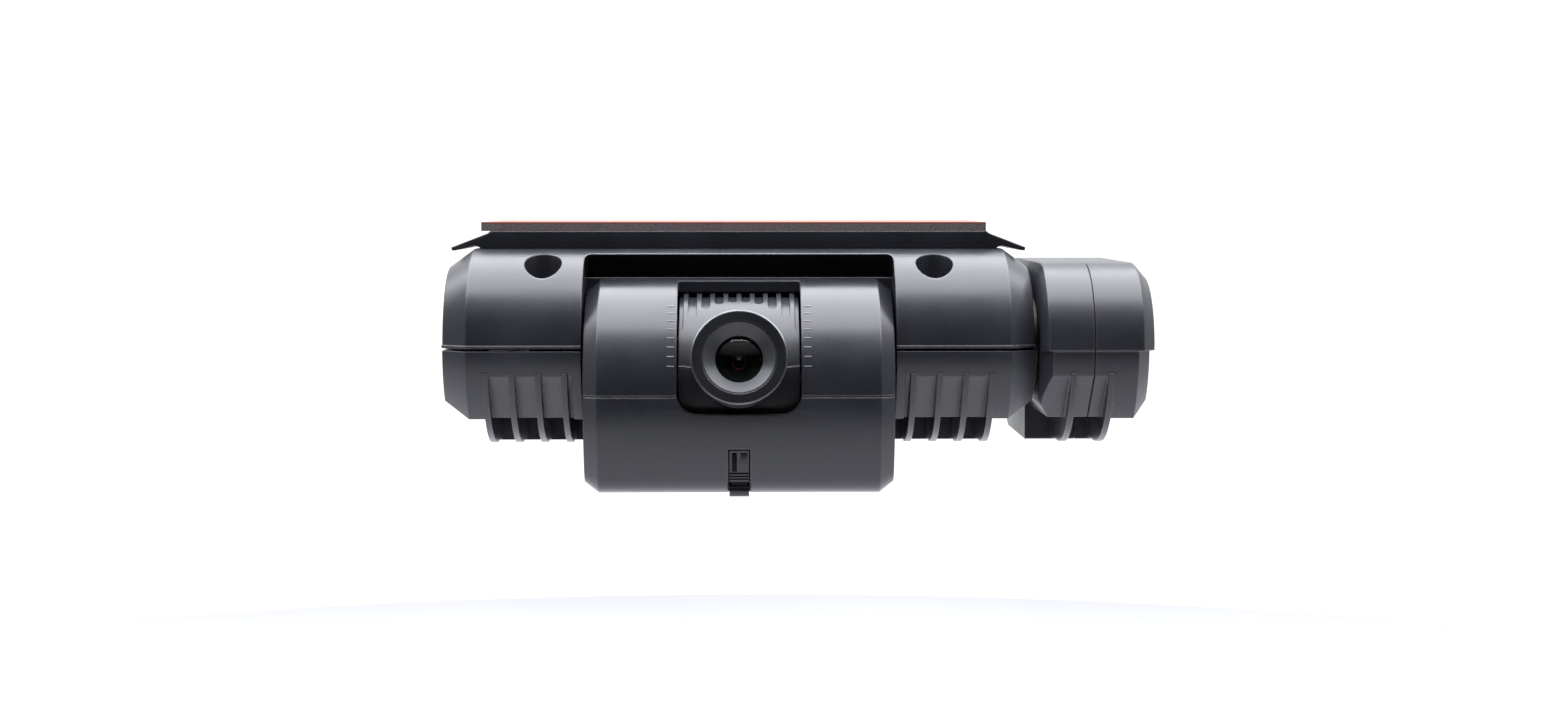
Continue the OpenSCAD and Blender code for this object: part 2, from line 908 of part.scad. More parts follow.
module tilt_washers() {
    color([0.7, 0.55, 0.3]) both_sides() difference() {
        rod_x(tilt_y, tilt_z, 4.6, barrel_hw + 0.3, block_x0);
        rod_x(tilt_y, tilt_z, axle_r + 0.2, barrel_hw, block_x0 + 1);
    }
}

module angle_scale() {
    color(mark_grey) both_sides() for (i = [0:mark_count - 1]) {
        a = lens_pitch - 1.5 + i * mark_step;
        tilt_sector(window_hw + 0.5, window_hw + 2.1, pod_r, pod_r + 0.1, a - mark_half, a + mark_half);
    }
}

module lock_slider() {
    color(trim_black) difference() {
        union() {
            intersection() {
                let ($inset = 0.35) pod_form_core();
                union() {
                    block([-slider_hw, -60, -56.4], [slider_hw, slider_back_y, slider_top_z]);
                    block([-slider_hw, -60, -56.4], [slider_hw, -44, slider_step_z - 0.3]);
                }
            }
            for (i = [0:2]) intersection() {
                let ($inset = 0.05) pod_form_core();
                block([-slider_hw, -60, -56.2 + i * 0.65], [slider_hw, -45, -55.85 + i * 0.65]);
            }
            block([-slider_hw + 0.4, -45, thumb_z], [slider_hw - 0.4, -43.2, slider_step_z - 0.3]);
            rod_x(thumb_y, thumb_z, thumb_r, -slider_hw, slider_hw);
        }
        block([-1.6, -60, -54.2], [-0.5, -47, slider_top_z - 0.5]);
        block([0.25, -60, -54.2], [1.8, -47.8, slider_top_z - 0.5]);
    }
}

// The pod's outline over the slider's width
module pod_form_core() {
    along_x(-slider_hw - 1, slider_hw + 1) pod_outline();
}

// ---- Lens barrel ----

module barrel_upper() {
    color(pod_grey) intersection() {
        barrel_shell();
        above_parting(0.1);
    }
}

module barrel_lower() {
    color(trim_black) intersection() {
        barrel_shell();
        below_parting(0.1);
    }
}

module barrel_axles() {
    color(metal_grey) both_sides() {
        rod_x(tilt_y, tilt_z, axle_r, barrel_hw - barrel_wall, block_x1 + 0.4);
        rod_x(tilt_y, tilt_z, axle_r + 0.6, barrel_hw - barrel_wall - 1.2, barrel_hw - barrel_wall);
    }
}

module index_marks() {
    color(mark_grey) both_sides()
        tilt_sector(
            11.4, barrel_hw, barrel_r, barrel_r + 0.1,
            lens_pitch - mark_half, lens_pitch + mark_half
        );
}

module lens_ring() {
    bevel = 0.35;
    flange_at = 15.4;
    flange_t = 1.2;
    color(trim_black) on_lens_axis() rotate_extrude($fn = 180) polygon([
        [hood_r + 0.05, flange_at], [neck_r + 1.2, flange_at],
        [neck_r + 1.2, flange_at + flange_t], [neck_r, flange_at + flange_t],
        [neck_r, ring_back - 0.8], [ring_r, ring_back],
        [ring_r, ring_front - bevel], [ring_r - bevel, ring_front], [hood_r + 0.05, ring_front]
    ]);
}

module lens_hood() {
    color(trim_black) on_lens_axis() rotate_extrude($fn = 180) polygon([
        [glass_r + 0.05, glass_at - 0.9], [hood_r, glass_at - 0.9], [hood_r, ring_front - 0.15],
        [hood_r - 0.3, ring_front - 0.15], [glass_r + 0.05, glass_at]
    ]);
}

module front_glass() {
    dome_r = 14;
    color([0.05, 0.09, 0.08]) on_lens_axis() intersection() {
        translate([0, 0, glass_at - 1.2]) cylinder(r = glass_r, h = 3, $fn = round_fn);
        translate([0, 0, glass_at + 0.2 - dome_r]) sphere(r = dome_r, $fn = 180);
    }
}

module lens_body() {
    color(trim_black) on_lens_axis() difference() {
        translate([0, 0, 11]) cylinder(r = optic_r, h = glass_at - 1.4 - 11, $fn = round_fn);
        translate([0, 0, 10.9]) cylinder(r = optic_r - 1.6, h = 30, $fn = round_fn);
    }
}

module lens_elements() {
    color([0.5, 0.65, 0.6]) on_lens_axis() for (at = [13, 18, 23])
        translate([0, 0, at]) cylinder(r = optic_r - 1.65, h = 2, $fn = round_fn);
}

module lens_holder() {
    color(trim_black) on_lens_axis() difference() {
        translate([-9, -9, sensor_at]) cube([18, 18, 7]);
        translate([0, 0, 10.8]) cylinder(r = optic_r + 0.05, h = 10, $fn = round_fn);
        translate([-5, -5, sensor_at - eps]) cube([10, 10, 3.4]);
    }
}

module camera_board() {
    color(board_green) on_lens_axis() translate([-11, -11, sensor_at - 1.4]) cube([22, 22, 1.4]);
}

module image_sensor() {
    color([0.1, 0.1, 0.14]) on_lens_axis() translate([-4, -4, sensor_at]) cube([8, 8, 1]);
}

// ---- Cabin head ----

module swivel_shaft() {
    color(metal_grey) difference() {
        union() {
            rod_x(head_y, main_z, shaft_r, cavity_hw - 2.6, head_x0 + wall + 2);
            rod_x(head_y, main_z, shaft_r + 2.5, head_x0 + wall, head_x0 + wall + 2);
        }
        rod_x(head_y, main_z, 4, 0, far);
        difference() {
            rod_x(head_y, main_z, shaft_r + 1, cavity_hw - 1.5, cavity_hw - 0.6);
            rod_x(head_y, main_z, shaft_r - 0.6, 0, far);
        }
    }
}

module shaft_clip() {
    color(metal_grey) difference() {
        rod_x(head_y, main_z, shaft_r + 2, cavity_hw - 1.4, cavity_hw - 0.7);
        rod_x(head_y, main_z, shaft_r - 0.5, 0, far);
        block([0, head_y - 2, main_z], [far, head_y + 2, main_z + 20]);
    }
}

module swivel_washer() {
    color([0.7, 0.55, 0.3]) difference() {
        rod_x(head_y, main_z, shaft_r + 4.5, main_hw, head_x0 - 0.15);
        rod_x(head_y, main_z, shaft_r + 0.3, 0, far);
    }
}

// The whole head before it is cut at its seam
module head_body() {
    low_end = max(head_fin_xs) + fin_t / 2;
    difference() {
        union() {
            difference() {
                lower_form(head_x0, head_low_x1, 2.4, 3, head_x0, low_end);
                along_x(head_x0 - 1, low_end) pocket_outline();
            }
            fins(head_fin_xs);
            intersection() {
                chamfered(head_x0, head_x1, 1.4, 2.8, 3.2) head_outline();
                block([0, -far, split_z - split_gap], [far, far, 0]);
            }
        }
        head_hollow();
        rod_x(head_y, main_z, shaft_r + 0.02, 0, head_x0 + wall + eps);
        for (spot = head_screw_spots) {
            rod_x(spot[0], spot[1], screw_hole_r + 0.1, head_x1 - 5, far);
            rod_x(spot[0], spot[1], 3, head_x1 - 2, far);
        }
        block([70, rear_y - 1.6, -40], [87.5, rear_y + 1, -14]);
        block([71, rear_y - wall - 1, -39], [86.5, rear_y, -15]);
    }
}

module head_hollow() {
    x0 = head_x0 + wall;
    x1 = head_low_x1 - wall;
    difference() {
        union() {
            along_x(x0, x1) intersection() {
                let ($inset = wall) head_outline();
                translate([-far / 2, split_z - 1]) square([far, far]);
            }
            along_x(x0, x1 - 1) lower_hollow_clipped();
            along_x(x0, max(head_fin_xs) - fin_t) rear_outline(wall);
            along_x(x0, max(head_fin_xs) - fin_t)
                translate([rear_wall_y + wall, front_floor_z - 1])
                    square([rear_y - rear_wall_y - 2 * wall, 5]);
        }
        for (spot = head_screw_spots) rod_x(spot[0], spot[1], 3.2, 0, far);
    }
}

module lower_hollow_clipped() {
    intersection() {
        lower_hollow_outline();
        translate([-far / 2, split_z - far]) square([far, far]);
    }
}

module head_inner_shell() {
    color(shell_grey) intersection() {
        difference() {
            head_body();
            for (spot = head_screw_spots) rod_x(spot[0], spot[1], screw_hole_r, 70, far);
        }
        block([0, -far, -far], [head_seam_x - 0.1, far, far]);
    }
}

module head_outer_shell() {
    color(shell_grey) intersection() {
        difference() {
            head_body();
            for (spot = head_screw_spots) rod_x(spot[0], spot[1], screw_hole_r + 0.1, 70, far);
        }
        block([head_seam_x + 0.1, -far, -far], [far, far, far]);
    }
}

module head_screws() {
    color(metal_grey) for (spot = head_screw_spots)
        translate([head_x1 - 0.3, spot[0], spot[1]]) rotate([0, -90, 0])
            screw(2.8, 1.7, screw_r, 19);
}

module head_board() {
    color(board_green) block([69, 14.4, -38.5], [86.5, 16, -15.5]);
}

module cabin_lens_holder() {
    color(trim_black) difference() {
        block([72.5, 16, -33], [85.5, 20, -22]);
        rod_y(79, main_z, 4.55, 15, 21);
    }
}

module cabin_lens() {
    color(trim_black) rod_y(79, main_z, 4.5, 16, rear_y - 0.5);
}

module infrared_window() {
    color([0.10, 0.03, 0.05]) difference() {
        block([70.1, rear_y - 1.5, -39.9], [87.4, rear_y - 0.1, -14.1]);
        rod_y(79, main_z, 4.8, 0, far);
    }
}

module infrared_leds() {
    color([0.8, 0.8, 0.85]) for (x = [74.5, 83.5], z = [-36.2, -18.2])
        rod_y(x, z, 1.7, 16, rear_y - 1.6);
}

release_liner();
adhesive_pad();
bracket_plate();
bracket_screws();
upper_shell();
lower_shell();
shell_screws();
main_board();
processor();
thermal_pad();
heat_spreader();
modem_module();
satellite_antenna();
supercapacitors();
board_screws();
speaker();
microphones();
card_socket();
sim_socket();
power_inlet();
card_door();
door_pin();
call_button();
record_button();
mute_button();
button_board();
button_switches();
light_pipes();
pod_upper();
pod_lower();
pod_screws();
bearing_blocks();
tilt_washers();
angle_scale();
lock_slider();
barrel_upper();
barrel_lower();
barrel_axles();
index_marks();
lens_ring();
lens_hood();
front_glass();
lens_body();
lens_elements();
lens_holder();
camera_board();
image_sensor();
swivel_shaft();
swivel_washer();
shaft_clip();
head_inner_shell();
head_outer_shell();
head_screws();
head_board();
cabin_lens();
cabin_lens_holder();
infrared_window();
infrared_leds();
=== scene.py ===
import json
import math

import bmesh
import bpy
from mathutils import Euler, Matrix, Vector


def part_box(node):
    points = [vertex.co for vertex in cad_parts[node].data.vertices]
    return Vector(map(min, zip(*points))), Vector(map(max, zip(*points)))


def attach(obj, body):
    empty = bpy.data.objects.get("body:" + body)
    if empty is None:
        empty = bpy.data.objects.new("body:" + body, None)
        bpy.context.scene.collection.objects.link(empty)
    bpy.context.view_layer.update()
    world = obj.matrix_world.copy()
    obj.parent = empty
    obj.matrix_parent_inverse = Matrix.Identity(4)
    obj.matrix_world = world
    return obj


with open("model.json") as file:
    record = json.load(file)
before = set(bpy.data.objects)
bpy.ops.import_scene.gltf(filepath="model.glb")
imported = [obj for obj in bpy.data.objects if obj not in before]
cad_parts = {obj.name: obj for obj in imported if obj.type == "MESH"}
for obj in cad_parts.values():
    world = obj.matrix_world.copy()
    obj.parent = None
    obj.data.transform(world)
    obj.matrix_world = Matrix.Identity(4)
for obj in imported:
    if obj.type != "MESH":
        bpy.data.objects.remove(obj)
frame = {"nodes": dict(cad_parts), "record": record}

MM = 0.001
WELD = 1e-6
SMOOTH_ANGLE = math.radians(24)
COAT_ROUGHNESS = 0.2
DUST_COLOUR = (0.42, 0.41, 0.40, 1)

# Millimetres, in the added pieces
RING_FRONT = 31.2  # from the tilt axis to the front of the lens ring
BUTTON_FLANGE = 0.8
SIGN_LIFTS = (-0.05, 0.1)

BAFFLE_STEPS = 6
REARWARD = (0, 1, 0)

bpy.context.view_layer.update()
nodes = frame["nodes"]
scene = bpy.context.scene


# ---- Node helpers ----

class Graph:
    """A short way to add and link shader nodes."""

    def __init__(self, tree):
        self.tree = tree

    def add(self, kind, inputs=None, **settings):
        node = self.tree.nodes.new(kind)
        for key, value in settings.items():
            setattr(node, key, value)
        for key, value in (inputs or {}).items():
            if isinstance(value, bpy.types.NodeSocket):
                self.tree.links.new(value, node.inputs[key])
            else:
                node.inputs[key].default_value = value
        return node

    def math(self, operation, a, b=0.0, clamp=False):
        return self.add("ShaderNodeMath", {0: a, 1: b}, operation=operation, use_clamp=clamp).outputs[0]

    def noise(self, vector, scale, detail=2.0, roughness=0.5):
        inputs = {"Vector": vector, "Scale": scale, "Detail": detail, "Roughness": roughness}
        return self.add("ShaderNodeTexNoise", inputs).outputs["Fac"]

    def span(self, value, low, high, new_low, new_high):
        inputs = {"Value": value, "From Min": low, "From Max": high, "To Min": new_low, "To Max": new_high}
        return self.add("ShaderNodeMapRange", inputs).outputs["Result"]

    def mix(self, factor, a, b):
        return self.add("ShaderNodeMix", {0: factor, 6: a, 7: b}, data_type="RGBA").outputs[2]

    def mix_values(self, factor, a, b):
        return self.add("ShaderNodeMix", {0: factor, 2: a, 3: b}, data_type="FLOAT").outputs[0]


def rgba(colour, gain=1.0):
    """A colour with alpha, brightened or darkened by a gain."""
    return (*[min(c * gain, 1.0) for c in colour], 1.0)


def new_material(name):
    """A node material, with its graph and its Principled shader."""
    material = bpy.data.materials.new(name)
    material.use_nodes = True
    graph = Graph(material.node_tree)
    shader = material.node_tree.nodes["Principled BSDF"]
    return material, graph, shader


def edge_mask(graph, rounded):
    """1 along edges, 0 on flat faces, from how far the rounded normal turns."""
    flat = graph.add("ShaderNodeNewGeometry").outputs["Normal"]
    turn = graph.add("ShaderNodeVectorMath", {0: rounded, 1: flat}, operation="DOT_PRODUCT")
    return graph.span(turn.outputs["Value"], 0.995, 0.86, 0.0, 1.0)


def plastic(name, colour, roughness=0.33, grain=0.16, grain_scale=2600, edge=0.22, edge_radius=0.6,
            coat=0.0, mottle=0.16):
    """Moulded plastic or lacquer: fine grain, slow mottling, dust, and rounded edges made lighter partly by
    scuffed wear and partly by a painted highlight.
    """
    material, graph, shader = new_material(name)
    place = graph.add("ShaderNodeTexCoord").outputs["Object"]
    rounded = graph.add("ShaderNodeBevel", {"Radius": edge_radius * MM}, samples=6).outputs["Normal"]
    edges = edge_mask(graph, rounded)

    flow = graph.noise(place, 55, 3.0, 0.6)
    speckle = graph.noise(place, grain_scale, 2.0, 0.6)
    scuffs = graph.noise(place, 420, 4.0, 0.7)
    dust = graph.span(graph.noise(place, 1500, 3.0, 0.75), 0.62, 0.78, 0.0, 0.35)

    base = graph.mix(graph.span(flow, 0.3, 0.7, 0.0, 1.0),
                     rgba(colour, 1 - mottle), rgba(colour, 1 + mottle))
    base = graph.mix(graph.span(speckle, 0.35, 0.75, 0.0, 0.35), base, rgba(colour, 1.5))
    base = graph.mix(graph.math("MULTIPLY", dust, 0.05), base, DUST_COLOUR)
    # Lighter edges: partly scuffed wear, partly a painted highlight standing in for light catching the
    # edges.
    edge_wear_and_highlight = graph.math("MULTIPLY", edges, graph.span(scuffs, 0.35, 0.65, 0.3, 1.0))
    base = graph.mix(graph.math("MULTIPLY", edge_wear_and_highlight, edge), base, rgba([c + 0.10 for c in colour], 1.6))
    graph.tree.links.new(base, shader.inputs["Base Color"])

    gloss = graph.span(flow, 0.25, 0.75, roughness - 0.05, roughness + 0.06)
    gloss = graph.math("ADD", gloss, graph.span(scuffs, 0.4, 0.7, -0.015, 0.02))
    gloss = graph.math("SUBTRACT", gloss, graph.math("MULTIPLY", edges, 0.08), clamp=True)
    graph.tree.links.new(gloss, shader.inputs["Roughness"])

    height = graph.math("ADD", speckle, graph.math("MULTIPLY", scuffs, 0.2))
    bump = graph.add("ShaderNodeBump", {"Height": height, "Normal": rounded,
                                        "Strength": grain, "Distance": 0.03 * MM})
    graph.tree.links.new(bump.outputs["Normal"], shader.inputs["Normal"])
    shader.inputs["Coat Weight"].default_value = coat
    shader.inputs["Coat Roughness"].default_value = COAT_ROUGHNESS
    return material


def metal(name, colour, roughness=0.3, brushed=(1, 1, 1), edge_radius=0.12):
    """Plated or machined metal with drawn streaks and dulled patches."""
    material, graph, shader = new_material(name)
    place = graph.add("ShaderNodeTexCoord").outputs["Object"]
    streaks = graph.add("ShaderNodeMapping", {"Vector": place, "Scale": brushed})
    fine = graph.noise(streaks.outputs["Vector"], 1800, 3.0, 0.6)
    stain = graph.noise(place, 180, 3.0, 0.6)
    rounded = graph.add("ShaderNodeBevel", {"Radius": edge_radius * MM}, samples=4).outputs["Normal"]
    base = graph.mix(graph.span(stain, 0.35, 0.7, 0.0, 1.0), rgba(colour, 1.05), rgba(colour, 0.72))
    graph.tree.links.new(base, shader.inputs["Base Color"])
    gloss = graph.math("ADD", graph.span(fine, 0.3, 0.7, roughness - 0.08, roughness + 0.1),
                       graph.span(stain, 0.4, 0.7, 0.0, 0.12), clamp=True)
    graph.tree.links.new(gloss, shader.inputs["Roughness"])
    bump = graph.add("ShaderNodeBump", {"Height": fine, "Normal": rounded,
                                        "Strength": 0.2, "Distance": 0.02 * MM})
    graph.tree.links.new(bump.outputs["Normal"], shader.inputs["Normal"])
    shader.inputs["Metallic"].default_value = 1.0
    return material


def circuit_board(name, colour):
    """Solder mask over copper tracks, with pads and a fibre weave."""
    material, graph, shader = new_material(name)
    place = graph.add("ShaderNodeTexCoord").outputs["Object"]
    tracks = graph.add("ShaderNodeTexVoronoi", {"Vector": place, "Scale": 420},
                       feature="DISTANCE_TO_EDGE", distance="MANHATTAN").outputs["Distance"]
    pads = graph.add("ShaderNodeTexVoronoi", {"Vector": place, "Scale": 900},
                     feature="F1", distance="CHEBYCHEV").outputs["Distance"]
    track = graph.span(tracks, 0.04, 0.07, 1.0, 0.0)
    pad = graph.span(pads, 0.16, 0.2, 1.0, 0.0)
    base = graph.mix(graph.math("MULTIPLY", track, 0.6), rgba(colour), rgba(colour, 2.2))
    base = graph.mix(graph.math("MULTIPLY", pad, 0.8), base, (0.62, 0.58, 0.46, 1))
    graph.tree.links.new(base, shader.inputs["Base Color"])
    gloss = graph.span(graph.noise(place, 600), 0.3, 0.7, 0.28, 0.42)
    graph.tree.links.new(gloss, shader.inputs["Roughness"])
    bump = graph.add("ShaderNodeBump", {"Height": graph.math("ADD", track, pad),
                                        "Strength": 0.3, "Distance": 0.04 * MM})
    graph.tree.links.new(bump.outputs["Normal"], shader.inputs["Normal"])
    return material


def foam(name, colour):
    """Closed-cell acrylic foam with open cells along its cut sides."""
    material, graph, shader = new_material(name)
    place = graph.add("ShaderNodeTexCoord").outputs["Object"]
    cells = graph.add("ShaderNodeTexVoronoi", {"Vector": place, "Scale": 2600}).outputs["Distance"]
    patch = graph.noise(place, 240, 3.0, 0.65)
    base = graph.mix(graph.span(cells, 0.1, 0.6, 0.0, 1.0), rgba(colour, 0.55), rgba(colour, 1.25))
    base = graph.mix(graph.span(patch, 0.45, 0.75, 0.0, 0.45), base, rgba((0.19, 0.12, 0.11)))
    graph.tree.links.new(base, shader.inputs["Base Color"])
    gloss = graph.span(patch, 0.3, 0.7, 0.72, 0.92)
    graph.tree.links.new(gloss, shader.inputs["Roughness"])
    bump = graph.add("ShaderNodeBump", {"Height": cells, "Strength": 0.5, "Distance": 0.06 * MM})
    graph.tree.links.new(bump.outputs["Normal"], shader.inputs["Normal"])
    shader.inputs["Specular IOR Level"].default_value = 0.25
    return material


def release_film(name, colour):
    """Thin release liner: waxy film with faint wrinkles and a lighter cut edge."""
    material, graph, shader = new_material(name)
    place = graph.add("ShaderNodeTexCoord").outputs["Object"]
    wrinkle = graph.noise(place, 90, 4.0, 0.6)
    fibre = graph.noise(place, 1400, 3.0, 0.6)
    base = graph.mix(graph.span(wrinkle, 0.35, 0.65, 0.0, 1.0), rgba(colour, 0.94), rgba(colour, 1.06))
    base = graph.mix(graph.span(fibre, 0.5, 0.8, 0.0, 0.2), base, rgba((0.30, 0.13, 0.07)))
    graph.tree.links.new(base, shader.inputs["Base Color"])
    gloss = graph.span(wrinkle, 0.3, 0.7, 0.3, 0.5)
    graph.tree.links.new(gloss, shader.inputs["Roughness"])
    bump = graph.add("ShaderNodeBump", {"Height": wrinkle, "Strength": 0.25, "Distance": 0.2 * MM})
    graph.tree.links.new(bump.outputs["Normal"], shader.inputs["Normal"])
    return material


def glass(name, tint, roughness=0.02, ior=1.52):
    """Coated optical glass with faint cleaning marks."""
    material, graph, shader = new_material(name)
    place = graph.add("ShaderNodeTexCoord").outputs["Object"]
    smear = graph.noise(place, 700, 4.0, 0.7)
    base = graph.mix(graph.span(smear, 0.4, 0.7, 0.0, 1.0), rgba(tint), rgba(tint, 0.85))
    graph.tree.links.new(base, shader.inputs["Base Color"])
    gloss = graph.span(smear, 0.45, 0.75, roughness, roughness + 0.02)
    graph.tree.links.new(gloss, shader.inputs["Roughness"])
    shader.inputs["Transmission Weight"].default_value = 1.0
    shader.inputs["IOR"].default_value = ior
    return material


def coated_glass(name):
    """A deep element behind the front glass, with a red and green anti-reflection coating."""
    material, graph, shader = new_material(name)
    place = graph.add("ShaderNodeTexCoord").outputs["Object"]
    cloud = graph.noise(place, 500, 2.0, 0.5)
    base = graph.mix(graph.span(cloud, 0.35, 0.65, 0.0, 1.0),
                     (0.010, 0.003, 0.006, 1), (0.003, 0.008, 0.006, 1))
    graph.tree.links.new(base, shader.inputs["Base Color"])
    graph.tree.links.new(graph.span(cloud, 0.3, 0.7, 0.03, 0.07), shader.inputs["Roughness"])
    shader.inputs["Specular Tint"].default_value = (1.0, 0.35, 0.42, 1)
    shader.inputs["Specular IOR Level"].default_value = 0.7
    return material


# ---- Materials ----

CHARCOAL = (0.0175, 0.0185, 0.0235)
POD_GREY = (0.0165, 0.0175, 0.0225)
BLACK = (0.006, 0.0063, 0.0075)
STEEL = (0.55, 0.55, 0.57)

finishes = {
    "liner": release_film("liner", (0.21, 0.040, 0.015)),
    "foam": foam("foam", (0.125, 0.105, 0.108)),
    "shell_plastic": plastic("shell_plastic", CHARCOAL),
    "fin_plastic": plastic("fin_plastic", CHARCOAL, edge=0.1, edge_radius=0.3),
    "screw_steel": metal("screw_steel", STEEL),
    "circuit_board": circuit_board("circuit_board", (0.012, 0.075, 0.045)),
    "chip": plastic("chip", (0.014, 0.014, 0.016), roughness=0.5, grain_scale=4200, edge_radius=0.1),
    "thermal_gel": plastic("thermal_gel", (0.22, 0.30, 0.42), roughness=0.6, edge_radius=0.2),
    "spreader_aluminium": metal("spreader_aluminium", (0.72, 0.73, 0.75), 0.36, (1, 24, 1)),
    "shield_can": metal("shield_can", (0.62, 0.62, 0.60), 0.24, (24, 1, 1)),
    "ceramic": plastic("ceramic", (0.52, 0.45, 0.31), roughness=0.55, grain_scale=3400, edge_radius=0.2),
    "capacitor_sleeve": plastic("capacitor_sleeve", (0.02, 0.025, 0.09), roughness=0.3),
    "speaker_black": plastic("speaker_black", BLACK, roughness=0.55),
    "connector_black": plastic("connector_black", (0.012, 0.012, 0.013), roughness=0.4, grain=0.15),
    "call_red": plastic("call_red", (0.36, 0.022, 0.018), roughness=0.45, edge=0.15, edge_radius=0.5),
    "button_rubber": plastic("button_rubber", (0.022, 0.023, 0.026), roughness=0.62, edge_radius=0.5),
    "light_pipe": glass("light_pipe", (0.86, 0.93, 0.92), 0.1),
    "pod_plastic": plastic("pod_plastic", POD_GREY, roughness=0.31),
    "washer_brass": metal("washer_brass", (0.045, 0.040, 0.036), 0.42),
    "scale_paint": plastic("scale_paint", (0.19, 0.195, 0.215), roughness=0.6, edge=0.0, edge_radius=0.05),
    "slider_plastic": plastic("slider_plastic", (0.010, 0.0105, 0.013), roughness=0.33, edge_radius=0.2),
    "barrel_plastic": plastic("barrel_plastic", (0.018, 0.019, 0.024), roughness=0.32, edge_radius=0.25),
    "barrel_black": plastic("barrel_black", BLACK, roughness=0.4),
    "ring_black": plastic("ring_black", (0.008, 0.0085, 0.010), roughness=0.24, grain=0.08, edge_radius=0.3),
    "hood_black": plastic("hood_black", (0.022, 0.023, 0.027), roughness=0.33, grain=0.1, edge_radius=0.1),
    "ring_edge": metal("ring_edge", (0.12, 0.122, 0.128), 0.3),
    "lens_glass": glass("lens_glass", (0.34, 0.40, 0.38), 0.0, 1.36),
    "baffle_black": plastic("baffle_black", (0.003, 0.003, 0.0035), roughness=0.6, grain=0.1,
                            edge=0.0, edge_radius=0.05),
    "coated_element": coated_glass("coated_element"),
    # Red metal for the iris ring: its red is a painted reflection of the lens coating.
    "iris_edge": metal("iris_edge", (0.85, 0.13, 0.11), 0.34, edge_radius=0.03),
    "optic_black": plastic("optic_black", (0.006, 0.006, 0.007), roughness=0.5),
    "optic_glass": glass("optic_glass", (0.82, 0.72, 0.86)),
    "sensor_glass": plastic("sensor_glass", (0.03, 0.02, 0.05), roughness=0.1, coat=0.6, grain=0.02),
    "head_plastic": plastic("head_plastic", CHARCOAL, roughness=0.36),
    "cabin_glass": plastic("cabin_glass", (0.008, 0.008, 0.012), roughness=0.08, coat=1.0, grain=0.02),
    "infrared_black": plastic("infrared_black", (0.020, 0.006, 0.010), roughness=0.09, coat=0.8, grain=0.02),
    "led_clear": glass("led_clear", (0.90, 0.90, 0.95), 0.05),
}


# ---- Smooth shading of the CAD nodes ----

def smoothing_group():
    """Geometry nodes that weld a mesh and shade it smooth below the crease angle."""
    group = bpy.data.node_groups.new("smooth_by_angle", "GeometryNodeTree")
    group.interface.new_socket("Geometry", in_out="INPUT", socket_type="NodeSocketGeometry")
    group.interface.new_socket("Geometry", in_out="OUTPUT", socket_type="NodeSocketGeometry")
    graph = Graph(group)
    source = graph.add("NodeGroupInput").outputs[0]
    weld = graph.add("GeometryNodeMergeByDistance", {"Geometry": source, "Distance": WELD})
    smooth = graph.add("GeometryNodeSetShadeSmooth",
                       {"Geometry": weld.outputs[0], "Shade Smooth": True}, domain="FACE")
    angle = graph.add("GeometryNodeInputMeshEdgeAngle").outputs["Unsigned Angle"]
    sharp = graph.add("FunctionNodeCompare", {"A": angle, "B": SMOOTH_ANGLE},
                      data_type="FLOAT", operation="GREATER_THAN")
    crease = graph.add("GeometryNodeSetShadeSmooth",
                       {"Geometry": smooth.outputs[0], "Selection": sharp.outputs[0],
                        "Shade Smooth": False}, domain="EDGE")
    result = graph.add("NodeGroupOutput")
    group.links.new(crease.outputs[0], result.inputs[0])
    return group


smoothing = smoothing_group()
for node in nodes.values():
    node.modifiers.new("smooth", "NODES").node_group = smoothing
    for slot in node.material_slots:
        slot.material = finishes[slot.material.name.split(".")[0]]


# ---- Added pieces ----

def corners(name):
    """The low and high corners of a node's box."""
    low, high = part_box(name)
    return Vector(low), Vector(high)


def centre(name):
    return sum(corners(name), Vector()) / 2


def in_mm(points):
    """A profile given in millimetres, in metres."""
    return [(a * MM, b * MM) for a, b in points]


def add_piece(name, verts, faces, finish, body):
    """A mesh that rides on a body, in the slot named like its finish."""
    mesh = bpy.data.meshes.new(name)
    mesh.from_pydata(verts, [], faces)
    shape = bmesh.new()
    shape.from_mesh(mesh)
    bmesh.ops.remove_doubles(shape, verts=shape.verts, dist=1e-7)
    bmesh.ops.recalc_face_normals(shape, faces=shape.faces)
    shape.to_mesh(mesh)
    shape.free()
    mesh.materials.append(finishes[finish])
    piece = bpy.data.objects.new(name, mesh)
    scene.collection.objects.link(piece)
    piece.modifiers.new("smooth", "NODES").node_group = smoothing
    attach(piece, body)


def lathe(profile, place, segments=72):
    """Vertices and faces of a [radius, height] profile turned about a matrix's local Z."""
    verts, faces, count = [], [], len(profile)
    for step in range(segments):
        turn = 2 * math.pi * step / segments
        verts += [place @ Vector((r * math.cos(turn), r * math.sin(turn), h)) for r, h in profile]
    for step in range(segments):
        here, there = step * count, (step + 1) % segments * count
        faces += [(here + i, there + i, there + i + 1, here + i + 1) for i in range(count - 1)]
    return verts, faces


def sweep(path, profile):
    """A closed [out, up] profile swept along a level path, with mitred corners and capped ends."""
    verts, faces, count = [], [], len(profile)
    for i, point in enumerate(path):
        before = (path[i] - path[i - 1]).normalized() if i else None
        after = (path[i + 1] - path[i]).normalized() if i + 1 < len(path) else None
        along = ((before or after) + (after or before)).normalized()
        out = Vector((along.y, -along.x, 0))
        stretch = 1 / max(out.dot(Vector(((after or before).y, -(after or before).x, 0))), 0.5)
        verts += [point + out * (o * stretch) + Vector((0, 0, u)) for o, u in profile]
    for i in range(len(path) - 1):
        for j in range(count):
            k = (j + 1) % count
            faces.append((i * count + j, i * count + k, (i + 1) * count + k, (i + 1) * count + j))
    last = (len(path) - 1) * count
    faces += [tuple(range(count)), tuple(last + j for j in reversed(range(count)))]
    return verts, faces


def around(radius, profile):
    """A lathe profile at a radius in metres, from [out, up] points in millimetres."""
    return [(radius + out, up) for out, up in in_mm(profile)]


